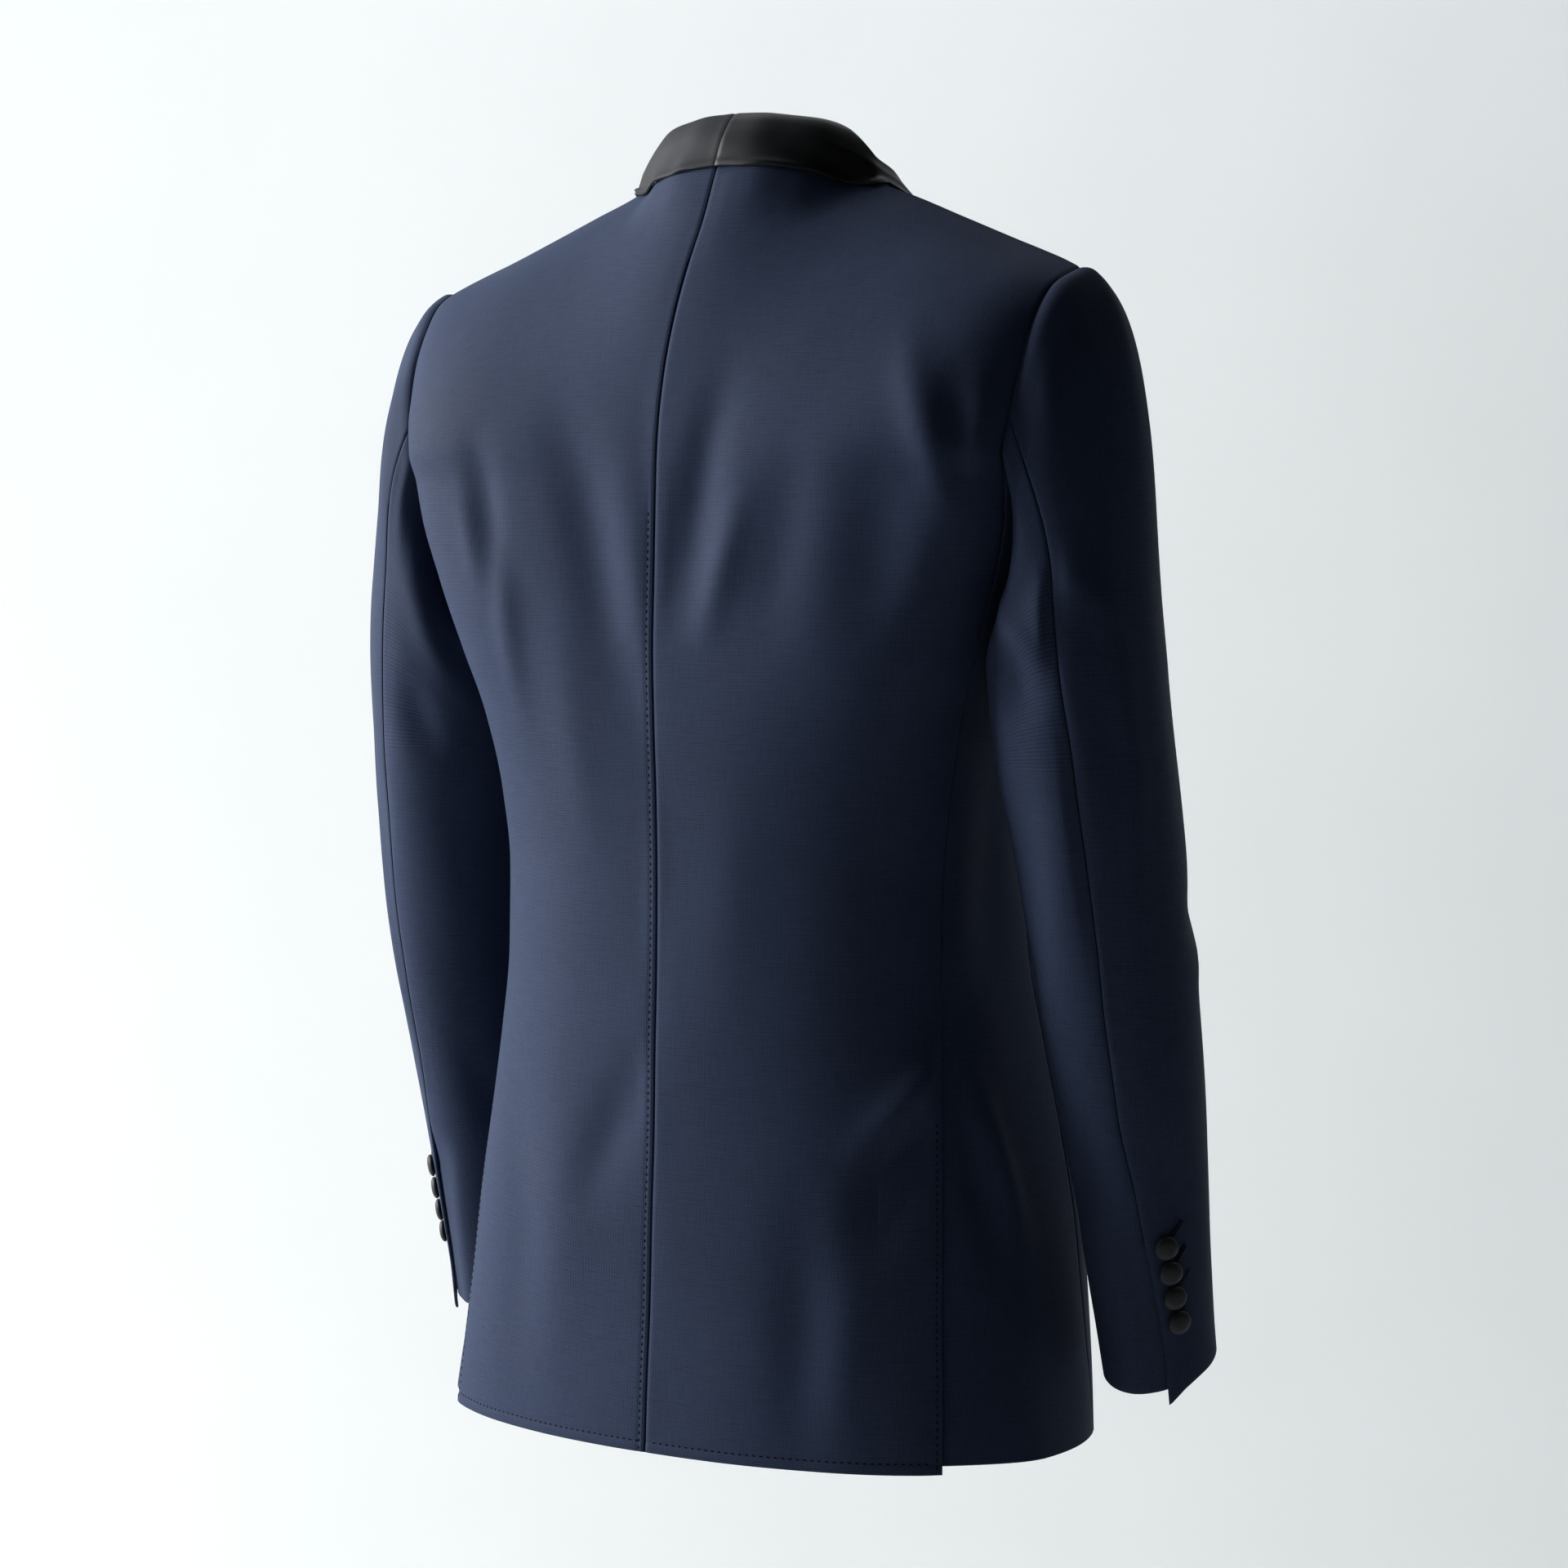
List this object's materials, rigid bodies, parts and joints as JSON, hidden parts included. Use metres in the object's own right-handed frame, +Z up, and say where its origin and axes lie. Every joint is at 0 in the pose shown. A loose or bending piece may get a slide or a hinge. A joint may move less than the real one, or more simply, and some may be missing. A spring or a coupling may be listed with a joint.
{
  "type": "tuxedo jacket",
  "caption": "Worn, hollow tuxedo jacket: centre back seam, two side vents, satin shawl collar, one-button cut-away front, long set-in sleeves with buttoned cuffs.",
  "frame": {"origin": "middle of the neck at the level where the jacket rests on the wearer's shoulders", "axes": "+Z up, the front faces -Y, the wearer's left is +X"},
  "size_m": [0.5578, 0.2625, 0.7802],
  "materials": {
    "wool": "fine plain-weave midnight blue wool, soft sheen",
    "satin": "black satin",
    "button": "black satin over a disc"
  },
  "bodies": {
    "root": {"back_left": "wool", "side_left": "wool", "front_left": "wool", "topsleeve_left": "wool", "undersleeve_left": "wool", "collar_left": "satin", "collar_stand_left": "satin", "cuff_button_left_1": "button", "cuff_button_left_2": "button", "cuff_button_left_3": "button", "cuff_button_left_4": "button", "back_right": "wool", "side_right": "wool", "front_right": "wool", "topsleeve_right": "wool", "undersleeve_right": "wool", "collar_right": "satin", "collar_stand_right": "satin", "cuff_button_right_1": "button", "cuff_button_right_2": "button", "cuff_button_right_3": "button", "cuff_button_right_4": "button", "front_button": "button"}
  },
  "joints": []
}
